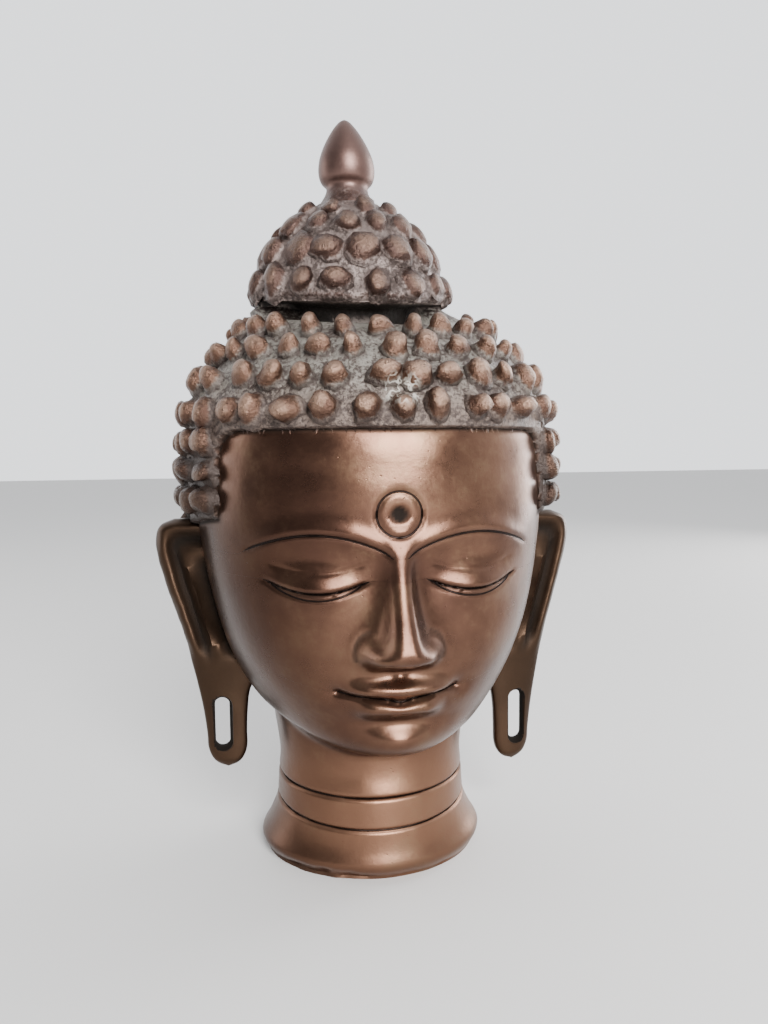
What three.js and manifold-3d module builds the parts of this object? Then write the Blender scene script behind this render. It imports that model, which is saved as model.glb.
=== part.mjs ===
import * as THREE from "three";
import { mergeVertices } from "three/addons/utils/BufferGeometryUtils.js";
import Module from "manifold-3d";

// The head of a buddha, cast in one piece of bronze and cut off at the neck, which flares into its foot.
// Millimetres, +Z up. The face looks along -Y, and the origin is the middle of the flat underside.
// Every place below is one on a head of canonHeight, which is brought to the height asked for.
const height = 243;
const canonHeight = 243;

// Levels of the face, a third of its length apart
const chinZ = 42.6;
const third = 32;
const noseZ = chinZ + third;
const browZ = chinZ + 2 * third;
const hairZ = chinZ + 3 * third;

// Head and face
const headX = 1;
const headY = 6;
const grooveZ = [15.5, 25];
const grooveDepth = 1;
const grooveWidth = 1.3;
const eyeX = 22.5;
const eyeZ = browZ - 11.5;
const mouthZ = noseZ - 10.8;
const lipsWidth = 35;
const urnaZ = browZ + 8.6;
const urnaDiameter = 12.5;
const urnaPit = 4.6;
const urnaDepth = 0.9;

// Hair
const knobsAround = 30;
const knobLength = 5.6;
const knobFill = 0.4;
const templeX = 49.5;
const templeCorner = 9;
const earTopZ = 113;
const tuckedIn = 9;

// Crown, the raised knot of hair on top, with the deep slot under its front rim
const crownX = -4;
const crownY = 8;
const crownKnobsAround = 14;
const crownKnobLength = 4.6;
const crownKnobFill = 0.34;
const rimRadius = 32;
const rimZ = 183;
const slotDepth = 12.5;
const slotHeight = 7;
const slotHalfAngle = 66;
const rimDroop = 4.5;

// Jewel on the crown
const jewelRadius = 9.4;
const jewelNeckRadius = 7.1;
const jewelFootZ = 208;
const jewelBudZ = 221.2;
const jewelLean = 1.6;
const jewelSides = 12;

// Ears
const earY = 4;
const earThickness = 5;
const earRake = 8;
const helixWidth = 4.2;
const helixHeight = 2.2;
const lobeSlotWidth = 4.8;
const lobeSlotHeight = 17;
const rightEarOut = 3.5;
const rightLobeDrop = 5;

const wasm = await Module();
wasm.setup();

const clamp = THREE.MathUtils.clamp;
const radians = THREE.MathUtils.degToRad;
const smoothstep = (low, high, value) => THREE.MathUtils.smoothstep(value, low, high);
const bell = (value, centre, spread) => Math.exp(-(((value - centre) / spread) ** 2));

// A smooth function through rows of [place, value, ...], level beyond both ends
function through(rows, column = 1) {
  const slope = (i) => {
    const before = rows[Math.max(i - 1, 0)];
    const after = rows[Math.min(i + 1, rows.length - 1)];
    return (after[column] - before[column]) / (after[0] - before[0]);
  };
  return (place) => {
    const last = rows.length - 1;
    if (place <= rows[0][0]) return rows[0][column];
    if (place >= rows[last][0]) return rows[last][column];
    const i = rows.findIndex((row) => row[0] > place) - 1;
    const gap = rows[i + 1][0] - rows[i][0];
    const s = (place - rows[i][0]) / gap;
    const [a, b] = [rows[i][column], rows[i + 1][column]];
    const rise = (a - b) * (2 * s ** 3 - 3 * s ** 2 + 1) + b;
    return rise + gap * (slope(i) * s * (1 - s) ** 2 - slope(i + 1) * s ** 2 * (1 - s));
  };
}

// A closed mesh as a solid, brought to the height asked for
function solidFrom(points, faces) {
  const scale = height / canonHeight;
  const vertProperties = Float32Array.from(points.flat(), (value) => value * scale);
  const triVerts = Uint32Array.from(faces.flat());
  return new wasm.Manifold(new wasm.Mesh({ numProp: 3, vertProperties, triVerts }));
}

function solidOf(geometry) {
  const bare = geometry.clone();
  bare.deleteAttribute("normal");
  bare.deleteAttribute("uv");
  const merged = mergeVertices(bare, 1e-4);
  const places = merged.getAttribute("position");
  const corners = [...merged.getIndex().array];
  const pointAt = (_, i) => [places.getX(i), places.getY(i), places.getZ(i)];
  const points = Array.from({ length: places.count }, pointAt);
  const faces = Array.from({ length: corners.length / 3 }, (_, i) => corners.slice(3 * i, 3 * i + 3));
  return solidFrom(points, faces);
}

// Rings from the bottom up, each running anticlockwise seen from above, closed by a fan at both ends
function solidOfRings(rings) {
  const count = rings[0].length;
  const points = rings.flat();
  const faces = [];
  for (let row = 0; row < rings.length - 1; row++) {
    for (let i = 0; i < count; i++) {
      const [a, b] = [row * count + i, row * count + ((i + 1) % count)];
      faces.push([a, b, b + count], [a, b + count, a + count]);
    }
  }
  const middle = (ring) => [0, 1, 2].map((axis) => ring.reduce((sum, p) => sum + p[axis], 0) / count);
  const bottom = points.push(middle(rings[0])) - 1;
  const top = points.push(middle(rings.at(-1))) - 1;
  const lastRing = (rings.length - 1) * count;
  for (let i = 0; i < count; i++) {
    faces.push([bottom, (i + 1) % count, i]);
    faces.push([top, lastRing + i, lastRing + ((i + 1) % count)]);
  }
  return solidFrom(points, faces);
}

// Neck, from the foot up: height, half width, depth to the front and to the back
const neckRows = [
  [0, 35.5, 31, 31],
  [4.5, 37.2, 33, 33],
  [9, 34.8, 31.8, 32],
  [15.5, 32.2, 31, 31.5],
  [25, 31.4, 30.3, 31],
  [33, 31, 28.5, 31.5],
  [48, 33, 28, 35],
];
const [neckSide, neckFront, neckBack] = [1, 2, 3].map((column) => through(neckRows, column));

// Head without its features: height, half width, depth to the front and to the back, squareness of the front
const headRows = [
  [38, 27, 44, 33, 1.8],
  [43, 31, 49.5, 35, 1.9],
  [49, 36, 53, 37, 2],
  [56, 41.5, 54, 38.5, 2.05],
  [64, 46, 55.5, 41, 2.1],
  [74, 50, 56.8, 44.5, 2.15],
  [86, 53.2, 57.8, 48, 2.2],
  [98, 55.4, 58.4, 50, 2.2],
  [112, 57, 59.2, 51, 2.15],
  [126, 57, 59.4, 50, 2.1],
  [hairZ, 55.4, 57.8, 47, 2.1],
  [147, 49, 50, 42, 2.1],
  [156, 40, 38, 34, 2.1],
];
const [headSide, headFront, headBack, squareness] = [1, 2, 3, 4].map((column) => through(headRows, column));

// Nose: height, how far it stands out and its half width
const noseRows = [
  [noseZ - 3, 0, 7.6],
  [noseZ - 1, 3.4, 8.6],
  [noseZ + 0.6, 10, 9.2],
  [noseZ + 2.6, 13.2, 9],
  [noseZ + 5, 13.9, 8],
  [noseZ + 9, 11.6, 6.8],
  [noseZ + 15, 8.1, 5.6],
  [noseZ + 22, 5, 4.9],
  [noseZ + 29, 2.8, 5.4],
  [noseZ + 36, 0.6, 7],
  [noseZ + 40, 0, 8],
];
const [noseOut, noseHalfWidth] = [1, 2].map((column) => through(noseRows, column));

// Arch of the brow, and the edge of the lowered upper lid, above the middle line at this distance from it
const archZ = (across) => browZ - 3.4 + 6.4 * Math.sin(Math.PI * clamp((across - 2) / 42, 0, 1)) ** 0.8;
const lidZ = (across) => eyeZ - 2.3 + 2.6 * clamp(Math.abs(across - eyeX) / 12.5, 0, 1.1) ** 2;

// How far the carving of the face stands out at this place of its front view
function relief(x, z) {
  const across = Math.abs(x);
  const nose = noseOut(z) / (1 + (across / noseHalfWidth(z) / 0.74) ** 5);
  const nostril = 4.4 * bell(across, 7.8, 3.2) * bell(z, noseZ + 2.4, 3.4);
  const browReach = smoothstep(0, 8, across) * (1 - smoothstep(32, 44, across));
  const brow = 1.1 * bell(z, archZ(across) + 1.4, 2.8) * browReach;
  const socket = 3.6 * bell(across, 20, 15) * bell(z, eyeZ + 2, 8.5);
  const lids = 4.6 * bell(across, eyeX, 10.8) * bell(z, eyeZ, 5.8);
  const lidLine = 1.1 * bell(z, lidZ(across), 1) * bell(across, eyeX, 12);
  const cheek = 2.2 * bell(across, 30, 15) * bell(z, noseZ + 4, 16);
  const lip = (level, half, rise, spread) =>
    rise * bell(z, level, spread) * (1 - smoothstep(half / 2, half, across));
  const muzzle = 2.6 * bell(across, 0, 20) * bell(z, mouthZ, 12);
  const upperLip = lip(mouthZ + 2.7, lipsWidth / 2, 2.6, 2.2);
  const lowerLip = lip(mouthZ - 3, lipsWidth / 2.4, 3.1, 2.6);
  const partingZ = mouthZ + 1.2 * (across / 17) ** 2;
  const parting = 2.3 * bell(z, partingZ, 0.9) * (1 - smoothstep(13, lipsWidth / 2, across));
  const corner = 1.4 * bell(across, lipsWidth / 2 + 0.5, 2.8) * bell(z, mouthZ + 1.2, 2.8);
  const philtrum = 0.8 * bell(across, 0, 1.9) * bell(z, mouthZ + 6.4, 2.6);
  const underLip = 1.6 * bell(across, 0, 12) * bell(z, mouthZ - 7.8, 2.8);
  const chin = 3.2 * bell(across, 0, 10.5) * bell(z, chinZ + 7, 5.6);
  const raised = nose + nostril + brow + lids + cheek + muzzle + upperLip + lowerLip + chin;
  return raised - socket - lidLine - parting - corner - philtrum - underLip;
}

// The skin of neck and face at an angle from straight ahead, positive towards +X
function skin(angle, z) {
  const [s, c] = [Math.sin(angle), Math.cos(angle)];
  const groove = grooveZ.reduce((sum, level) => sum + grooveDepth * bell(z, level, grooveWidth), 0);
  const neckDepth = (c > 0 ? neckFront(z) : neckBack(z)) - groove;
  const neck = [(neckSide(z) - groove) * s, -neckDepth * c];
  const power = 2 / (c > 0 ? squareness(z) : 2);
  const bend = (value) => Math.sign(value) * Math.abs(value) ** power;
  const headDepth = c > 0 ? headFront(z) : headBack(z);
  const head = [headX + headSide(z) * bend(s), headY - headDepth * bend(c)];
  const jawZ = chinZ - 1.5 + 19 * (1 - Math.max(c, 0)) ** 1.2;
  const onHead = smoothstep(jawZ - 4, jawZ + 4.5, z);
  const x = neck[0] + (head[0] - neck[0]) * onHead;
  const y = neck[1] + (head[1] - neck[1]) * onHead;
  const carved = c > 0 ? relief(x - headX, z) * onHead * smoothstep(0, 0.35, c) : 0;
  return [x, y - carved, z];
}

// Face and neck: rows close together where the carving is fine, columns close together in front
function makeSkin() {
  const bands = [
    [0, 2],
    [4.5, 4],
    [grooveZ[0] - 2.6, 1.3],
    [grooveZ[0] + 2.6, 4],
    [grooveZ[1] - 2.6, 1.3],
    [grooveZ[1] + 2.6, 4],
    [chinZ, 2.8],
    [mouthZ - 6, 1.9],
    [mouthZ + 6, 2.2],
    [noseZ + 6, 4],
    [eyeZ - 5, 1.8],
    [eyeZ + 4, 2.6],
    [browZ + 5, 7],
    [hairZ, 9],
  ];
  const [bridgeStep, fineStep, coarseStep, fineReach] = [2.8, 4.7, 13.5, 44];
  const topZ = 156;
  const half = [0, bridgeStep];
  while (half.at(-1) < 180) {
    const step = half.at(-1) < fineReach ? fineStep : coarseStep;
    half.push(Math.min(half.at(-1) + step, 180));
  }
  const left = half.slice(1, -1).reverse();
  const angles = [...left.map((degrees) => -degrees), ...half].map(radians);
  const levels = [];
  bands.forEach(([from, step], i) => {
    const to = i + 1 < bands.length ? bands[i + 1][0] : topZ;
    const count = Math.max(Math.round((to - from) / step), 1);
    for (let k = 0; k < count; k++) levels.push(from + ((to - from) * k) / count);
  });
  levels.push(topZ);
  return solidOfRings(levels.map((z) => angles.map((angle) => skin(angle, z))));
}

// The round mark between and above the brows: a ring and a pit cut into the forehead
function makeUrna() {
  const surface = skin(0, urnaZ)[1];
  const ringWidth = 1.1;
  const outer = new THREE.Shape().absarc(0, 0, urnaDiameter / 2, 0, 2 * Math.PI);
  outer.holes.push(new THREE.Path().absarc(0, 0, urnaDiameter / 2 - ringWidth, 0, 2 * Math.PI, true));
  const pit = new THREE.Shape().absarc(0, 0, urnaPit / 2, 0, 2 * Math.PI);
  const cut = [outer, pit].map((shape) => {
    const options = { depth: 2 * urnaDepth + 3, bevelEnabled: false, curveSegments: 9 };
    const geometry = new THREE.ExtrudeGeometry(shape, options);
    geometry.rotateX(Math.PI / 2);
    geometry.translate(headX, surface + urnaDepth + 0.4, urnaZ);
    return solidOf(geometry);
  });
  return cut[0].add(cut[1]);
}

// How high up a knob its shoulder is, as a part of its length
const shoulderHeight = 0.72;

// Knobs in staggered rows over the surface that ground(angle, row) gives, as four-sided cells that share
// their lowest points, which lowPoint(angle, row) gives. A cell that isKnob refuses stays flat.
function knobCells({ around, rows, ground, lowPoint = ground, isKnob = () => true, length, fill }) {
  const points = [];
  const faces = [];
  const step = (2 * Math.PI) / around;
  const lowIndex = new Map();
  const low = (halfColumn, row) => {
    const column = THREE.MathUtils.euclideanModulo(halfColumn, 2 * around);
    const key = `${column} ${row}`;
    if (!lowIndex.has(key)) lowIndex.set(key, points.push(lowPoint((column * step) / 2, row)) - 1);
    return lowIndex.get(key);
  };
  for (let row = 0; row < rows; row++) {
    for (let i = 0; i < around; i++) {
      const half = 2 * i + (row % 2);
      const edge = [low(half, row - 1), low(half + 1, row), low(half, row + 1), low(half - 1, row)];
      const angle = (half * step) / 2;
      const centre = new THREE.Vector3(...ground(angle, row));
      if (!isKnob(centre)) {
        faces.push([edge[0], edge[1], edge[2]], [edge[0], edge[2], edge[3]]);
        continue;
      }
      const [left, right, under, over] = [[-0.5, 0], [0.5, 0], [0, -0.5], [0, 0.5]].map(
        ([sideways, upwards]) => new THREE.Vector3(...ground(angle + sideways * step, row + upwards)),
      );
      const across = right.sub(left);
      const upward = over.sub(under);
      const out = across.clone().cross(upward).normalize();
      const uneven = 1 + 0.06 * Math.sin(12.9 * row + 7.3 * i);
      const at = (sideways, upwards, rise) => {
        const point = centre.clone().addScaledVector(out, rise * uneven);
        point.addScaledVector(across, sideways * uneven).addScaledVector(upward, upwards * uneven);
        return points.push(point.toArray()) - 1;
      };
      const reaches = [[0, -fill], [fill, 0], [0, fill], [-fill, 0]];
      const shoulder = reaches.map((reach) => at(...reach, length * shoulderHeight));
      const tip = at(0, 0, length);
      edge.forEach((corner, k) => {
        const next = (k + 1) % 4;
        faces.push([corner, edge[next], shoulder[next]], [corner, shoulder[next], shoulder[k]]);
        faces.push([shoulder[k], shoulder[next], tip]);
      });
    }
  }
  // The zigzag rims below the first row and above the last, in order round the axis
  const rim = (row, outward) =>
    Array.from({ length: 2 * around }, (_, i) => low(i, row + ((i + row) % 2 === 0 ? outward : 0)));
  return { points, faces, bottom: rim(0, -1), top: rim(rows - 1, 1) };
}

// Closes the knobs below and above with further rings, each worked out from the rim's angles
function closeCells(cells, ringsBelow, ringsAbove) {
  const { points, faces } = cells;
  const count = cells.bottom.length;
  const strip = (lower, upper) => {
    for (let i = 0; i < count; i++) {
      const next = (i + 1) % count;
      faces.push([lower[i], lower[next], upper[next]], [lower[i], upper[next], upper[i]]);
    }
  };
  const add = (ring) => ring.map((point) => points.push(point) - 1);
  const ringOf = (make) => add(Array.from({ length: count }, (_, i) => make((2 * Math.PI * i) / count)));
  let lower = cells.bottom;
  for (const make of ringsBelow) {
    const ring = ringOf(make);
    strip(ring, lower);
    lower = ring;
  }
  let upper = cells.top;
  for (const make of ringsAbove) {
    const ring = ringOf(make);
    strip(upper, ring);
    upper = ring;
  }
  const middle = (ring) => {
    const centre = [0, 1, 2].map((k) => ring.reduce((sum, i) => sum + points[i][k], 0) / count);
    return points.push(centre) - 1;
  };
  const [bottomPoint, topPoint] = [middle(lower), middle(upper)];
  for (let i = 0; i < count; i++) {
    const next = (i + 1) % count;
    faces.push([bottomPoint, lower[next], lower[i]], [topPoint, upper[i], upper[next]]);
  }
  return solidFrom(points, faces);
}

// Ground of the hair, row by row from the nape up: height in front and at the sides, reach to the front,
// to the sides and to the back
const hairRows = [
  [0, 74.5, 74.5, 52.9, 52.2, 47.6],
  [1, 83.4, 83.4, 55.4, 55, 50.8],
  [2, 92.2, 92.2, 57.4, 56.9, 53],
  [3, 101, 101, 58.8, 58.4, 54.4],
  [4, 109.8, 109.8, 59.9, 59.3, 55],
  [5, 118.4, 118.4, 60.5, 59.7, 54.8],
  [6, 127, 127, 60.8, 59.8, 54.1],
  [7, 135.6, 135.6, 60.8, 59.4, 52.8],
  [8, 144, 144.4, 59.3, 58.4, 50.8],
  [9, 152.4, 153.6, 54.4, 54.8, 46.8],
  [10, 160.2, 162, 47, 48.4, 41.2],
  [11, 166.4, 169.4, 38.6, 41.6, 35.6],
  [12, 170.4, 175, 30.5, 35.5, 31],
];
const [hairFrontZ, hairSideZ] = [1, 2].map((column) => through(hairRows, column));
const [hairFront, hairSide, hairBack] = [3, 4, 5].map((column) => through(hairRows, column));

// The window that the hair leaves for the face: below the straight hairline with its round corners, between
// the temples, and lower down everything in front of the ears
function inFaceWindow(x, y, z, margin) {
  const across = Math.abs(x - headX);
  const low = hairZ + margin - z;
  const inside = templeX + margin - across;
  const fromCorner = Math.hypot(Math.max(templeCorner - low, 0), Math.max(templeCorner - inside, 0));
  const corner = templeCorner - fromCorner;
  const belowHairline = y < headY && low > 0 && inside > 0 && corner > 0;
  return belowHairline || (z < earTopZ + margin && y < earY + 2 + margin);
}

function hairGround(angle, row, inset = 0) {
  const [s, c] = [Math.sin(angle), Math.cos(angle)];
  const depth = c > 0 ? hairFront(row) : hairBack(row);
  const reach = 1 / Math.hypot(s / hairSide(row), c / depth) - inset;
  const droop = Math.max(c, 0) ** 2;
  const z = hairSideZ(row) + (hairFrontZ(row) - hairSideZ(row)) * droop;
  return [headX + reach * s, headY - reach * c, z];
}

function makeHair() {
  const rows = hairRows.length;
  // Points in the window tuck under the skin, straight in from the hairline where they are just below it
  const lowPoint = (angle, row) => {
    const onGround = hairGround(angle, row);
    if (!inFaceWindow(...onGround, 0)) return onGround;
    const [x, y, z] = hairGround(angle, row, tuckedIn);
    return [x, y, inFaceWindow(...hairGround(angle, row + 1), 0) ? z : Math.max(z, hairZ)];
  };
  const cells = knobCells({
    around: knobsAround,
    rows,
    ground: hairGround,
    lowPoint,
    isKnob: (centre) => !inFaceWindow(centre.x, centre.y, centre.z, 2),
    length: knobLength,
    fill: knobFill,
  });
  const underTheNape = (angle) => {
    const [x, y] = hairGround(angle, 0, tuckedIn + 4);
    return [x, y, hairRows[0][1] - 2];
  };
  // Under the crown: low as the slot's floor in front, and up to the rim at its ends, beside it and behind
  const underTheCrown = (low, high) => (angle) => {
    const turn = Math.abs(THREE.MathUtils.euclideanModulo(angle + Math.PI, 2 * Math.PI) - Math.PI);
    const rise = smoothstep(radians(slotHalfAngle - 10), radians(slotHalfAngle + 14), turn);
    const [x, y, reach, z] = low.map((value, k) => value + (high[k] - value) * rise);
    return [x + reach * Math.sin(angle), y - reach * Math.cos(angle), z];
  };
  return closeCells(cells, [underTheNape], [
    underTheCrown([headX, headY, 26, 171.8], [crownX + 1, crownY, rimRadius + 2, rimZ - 4.5]),
    underTheCrown([headX, headY, 16, 172.6], [crownX, crownY, rimRadius - 7, rimZ - 1]),
  ]);
}

// Ground of the crown above its rim: height and radius
const crownRows = [
  [0, 186.5, 30.4],
  [1, 195, 27],
  [2, 203.3, 21.6],
  [3, 210, 14.6],
];
const [crownZ, crownRadius] = [1, 2].map((column) => through(crownRows, column));

function makeCrown() {
  const droopAt = (angle) => rimDroop * Math.max(Math.cos(angle), 0) ** 1.5;
  const ring = (radiusAt, z, drooping) => (angle) => [
    crownX + radiusAt(angle) * Math.sin(angle),
    crownY - radiusAt(angle) * Math.cos(angle),
    z - drooping * droopAt(angle),
  ];
  const inSlot = (angle) => {
    const turn = Math.abs(THREE.MathUtils.euclideanModulo(angle + Math.PI, 2 * Math.PI) - Math.PI);
    return 1 - smoothstep(radians(slotHalfAngle), radians(slotHalfAngle + 16), turn);
  };
  const wall = (angle) => rimRadius - 1 - (slotDepth - 1) * inSlot(angle);
  const [firstRowDroop, laterDroop] = [0.6, 0.2];
  const ground = (angle, row) =>
    ring(() => crownRadius(row), crownZ(row), row < 1 ? firstRowDroop : laterDroop)(angle);
  const cells = knobCells({
    around: crownKnobsAround,
    rows: crownRows.length,
    ground,
    length: crownKnobLength,
    fill: crownKnobFill,
  });
  const below = [
    ring(() => rimRadius, rimZ, 1),
    ring((angle) => wall(angle) + 2, rimZ - 0.6, 1),
    ring(wall, rimZ - slotHeight, 1),
    ring((angle) => wall(angle) - 6, rimZ - slotHeight - 6, 1),
  ];
  const above = [
    ring(() => jewelRadius, jewelFootZ + 7, 0),
    ring(() => jewelNeckRadius / 2, jewelFootZ + 9, 0),
  ];
  return closeCells(cells, below, above);
}

// The jewel: a flared stem and a bud, as a turned shape that leans a little
function makeJewel() {
  const outline = [
    [0, jewelFootZ],
    [jewelRadius + 2.6, jewelFootZ],
    [jewelRadius + 0.7, jewelFootZ + 5.8],
    [jewelNeckRadius + 0.6, jewelFootZ + 9.6],
    [jewelNeckRadius, jewelBudZ - 1],
    [jewelNeckRadius + 0.3, jewelBudZ],
    [jewelRadius - 0.2, jewelBudZ + 3],
    [jewelRadius, jewelBudZ + 5.4],
    [jewelRadius - 0.4, jewelBudZ + 8.2],
    [jewelRadius - 2.4, jewelBudZ + 13.4],
    [jewelRadius - 5.1, jewelBudZ + 18],
    [jewelRadius - 7.5, canonHeight - 1],
    [0, canonHeight],
  ];
  const geometry = new THREE.LatheGeometry(outline.map((point) => new THREE.Vector2(...point)), jewelSides);
  geometry.rotateX(Math.PI / 2);
  geometry.translate(0, 0, -jewelFootZ);
  geometry.rotateY(-radians(jewelLean));
  geometry.translate(crownX, crownY, jewelFootZ);
  return solidOf(geometry);
}

// An ear, drawn for the +X side as seen from the front: long, with a slit lobe that hangs free of the neck
const earOuter = [
  [60, 110.4],
  [66, 110.8],
  [69.8, 106.5],
  [69.8, 99.5],
  [67, 88.7],
  [64, 79],
  [61, 69.5],
  [58.6, 58],
  [56.4, 46.5],
  [55, 36],
];
const earInner = [
  [41.8, 36],
  [41.4, 44],
  [40.6, 52],
  [36, 60],
  [40, 84],
  [48, 106],
];
const lobeX = 48.4;
const lobeHalfWidth = 6.6;

function earShape() {
  const lobeZ = 33.6;
  const outline = new THREE.Shape();
  outline.moveTo(...earOuter[0]);
  outline.splineThru(earOuter.slice(1).map((point) => new THREE.Vector2(...point)));
  outline.absellipse(lobeX, lobeZ, lobeHalfWidth, 7.4, 0, -Math.PI, true);
  earInner.forEach((point) => outline.lineTo(...point));
  const slot = new THREE.Path();
  const slotTop = 50;
  const slotX = 50.4;
  const round = lobeSlotWidth / 2;
  slot.absarc(slotX, slotTop - round, round, 0, Math.PI);
  slot.absarc(slotX - 0.8, slotTop - lobeSlotHeight + round, round, Math.PI, 2 * Math.PI);
  outline.holes.push(slot);
  return outline;
}

// The roll along the upper edge of the ear, inside which the ear is hollowed
function helixShape() {
  const roll = earOuter.slice(0, 7);
  const curve = new THREE.SplineCurve(roll.map((point) => new THREE.Vector2(...point)));
  const steps = 12;
  const inner = curve.getPoints(steps).map((point, i) => {
    const tangent = curve.getTangent(i / steps);
    return new THREE.Vector2(point.x + tangent.y * helixWidth, point.y - tangent.x * helixWidth);
  });
  return new THREE.Shape([...curve.getPoints(steps), ...inner.reverse()]);
}

function makeEar(side) {
  const plateOptions = { depth: earThickness, bevelEnabled: false, curveSegments: 3 };
  const rollOptions = { depth: helixHeight + 1, bevelEnabled: false };
  const plate = new THREE.ExtrudeGeometry(earShape(), plateOptions);
  const roll = new THREE.ExtrudeGeometry(helixShape(), rollOptions);
  roll.translate(0, 0, earThickness - 1);
  return [plate, roll].map((geometry) => {
    const places = geometry.getAttribute("position");
    for (let i = 0; i < places.count; i++) {
      const [x, z, out] = [places.getX(i), places.getY(i), places.getZ(i)];
      const stretched = side > 0 ? rightEarOut : 0;
      const dropped = side > 0 ? rightLobeDrop * (1 - smoothstep(30, 100, z)) : 0;
      const backwards = (x - 52) * Math.tan(radians(earRake));
      places.setXYZ(i, side * (x + stretched), earY + earThickness / 2 - out + backwards, z - dropped);
    }
    return solidOf(side < 0 ? flipped(geometry) : geometry);
  });
}

// The same mesh with its faces turned to the other side
function flipped(geometry) {
  const turned = mergeVertices(geometry);
  const corners = turned.getIndex().array;
  for (let i = 0; i < corners.length; i += 3) [corners[i], corners[i + 1]] = [corners[i + 1], corners[i]];
  return turned;
}

const pieces = [makeHair(), makeCrown(), makeJewel(), ...makeEar(-1), ...makeEar(1)];
const cast = pieces.reduce((sum, piece) => sum.add(piece), makeSkin()).subtract(makeUrna());

const { vertProperties, triVerts } = cast.getMesh();
const geometry = new THREE.BufferGeometry();
geometry.setAttribute("position", new THREE.BufferAttribute(new Float32Array(vertProperties), 3));
geometry.setIndex(new THREE.BufferAttribute(new Uint32Array(triVerts), 1));
geometry.computeVertexNormals();
const bronze = new THREE.MeshStandardMaterial({ color: 0x7a5443, roughness: 0.35, metalness: 0.9 });

const buddhaHead = new THREE.Mesh(geometry, bronze);
buddhaHead.name = "buddha_head";
const model = new THREE.Group();
model.add(buddhaHead);
export default model;
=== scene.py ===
import math

import bpy
import numpy as np
from mathutils import Matrix, Vector
from mathutils.kdtree import KDTree


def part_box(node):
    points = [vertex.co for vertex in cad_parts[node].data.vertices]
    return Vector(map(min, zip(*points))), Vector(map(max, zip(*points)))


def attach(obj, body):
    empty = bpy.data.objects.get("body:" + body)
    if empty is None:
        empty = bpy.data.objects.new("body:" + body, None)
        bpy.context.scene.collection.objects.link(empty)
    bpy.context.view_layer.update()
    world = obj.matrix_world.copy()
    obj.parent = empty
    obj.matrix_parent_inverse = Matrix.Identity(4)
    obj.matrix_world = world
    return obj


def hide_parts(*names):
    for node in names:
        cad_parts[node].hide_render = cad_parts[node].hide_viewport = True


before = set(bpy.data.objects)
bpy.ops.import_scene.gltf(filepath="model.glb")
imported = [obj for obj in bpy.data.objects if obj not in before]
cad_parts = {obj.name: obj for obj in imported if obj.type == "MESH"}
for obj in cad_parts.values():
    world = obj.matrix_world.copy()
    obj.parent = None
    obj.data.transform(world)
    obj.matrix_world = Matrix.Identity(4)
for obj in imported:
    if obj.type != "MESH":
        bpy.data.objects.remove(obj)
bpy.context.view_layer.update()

# The node's box gives the size. Every place below is in millimetres on a head of canonHeight.
headName = "buddha_head"
headLow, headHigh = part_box(headName)
canonHeight = 243
toMetres = (headHigh[2] - headLow[2]) / canonHeight
seed = 7


# Small maths for whole arrays
def smoothstep(low, high, value):
    share = np.clip((value - low) / (high - low), 0, 1)
    return share * share * (3 - 2 * share)


def bell(value, centre, spread):
    return np.exp(-(((value - centre) / spread) ** 2))


# A smooth function through rows of [place, value, ...], level beyond both ends
def through(rows, column=1):
    places = np.array([row[0] for row in rows], float)
    values = np.array([row[column] for row in rows], float)
    last = len(places) - 1
    before = np.maximum(np.arange(last + 1) - 1, 0)
    after = np.minimum(np.arange(last + 1) + 1, last)
    slopes = (values[after] - values[before]) / (places[after] - places[before])

    def at(place):
        place = np.clip(place, places[0], places[-1])
        i = np.clip(np.searchsorted(places, place, side="right") - 1, 0, last - 1)
        gap = places[i + 1] - places[i]
        share = (place - places[i]) / gap
        rise = (values[i] - values[i + 1]) * (2 * share**3 - 3 * share**2 + 1) + values[i + 1]
        ends = slopes[i] * share * (1 - share) ** 2 - slopes[i + 1] * share**2 * (1 - share)
        return rise + gap * ends

    return at


# Smooth random lumps between -1 and 1, of a given size, at points in millimetres
def lumps(points, size, salt):
    cells = np.random.default_rng(seed + salt).uniform(-1, 1, (32, 32, 32))
    spot = points / size
    low = np.floor(spot).astype(int)
    share = spot - low
    share = share * share * (3 - 2 * share)
    total = np.zeros(points.shape[:-1])
    for corner in np.ndindex(2, 2, 2):
        weight = np.prod(np.where(corner, share, 1 - share), axis=-1)
        x, y, z = np.moveaxis((low + corner) % 32, -1, 0)
        total += weight * cells[x, y, z]
    return total


# Shells are [points, faces, marks]: marks are named values at each point, which the material reads
# The groove mark is grime and painted shade in recesses, cuts, holes and slots
markNames = ("hair", "knob", "crown", "ear", "groove", "dust")
# Signed distances in millimetres to the cut lines, which the material draws sharper than the mesh can, as
# dark lines of grime and painted shade
lineNames = ("browLine", "upperLine", "lowerLine", "mouthLine", "ringLine", "neckLine")
farAway = 9.0


# Rings from the bottom up, closed by a fan at both ends: rings is rows x columns x 3
def shellOfRings(rings, marks):
    rows, columns = rings.shape[:2]
    index = np.arange(rows * columns).reshape(rows, columns)
    across = np.roll(index, -1, axis=1)
    quads = np.stack([index[:-1], across[:-1], across[1:], index[1:]], axis=-1).reshape(-1, 4)
    points = np.concatenate([rings.reshape(-1, 3), rings[:1].mean(axis=1), rings[-1:].mean(axis=1)])
    bottom, top = rows * columns, rows * columns + 1
    caps = [[bottom, across[0, i], index[0, i]] for i in range(columns)]
    caps += [[top, index[-1, i], across[-1, i]] for i in range(columns)]
    full = {}
    for name in markNames + lineNames:
        value = np.broadcast_to(marks.get(name, farAway if name in lineNames else 0.0), (rows, columns))
        full[name] = np.concatenate([value.reshape(-1), [value[0].mean(), value[-1].mean()]])
    return points, quads.tolist() + caps, full


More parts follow.
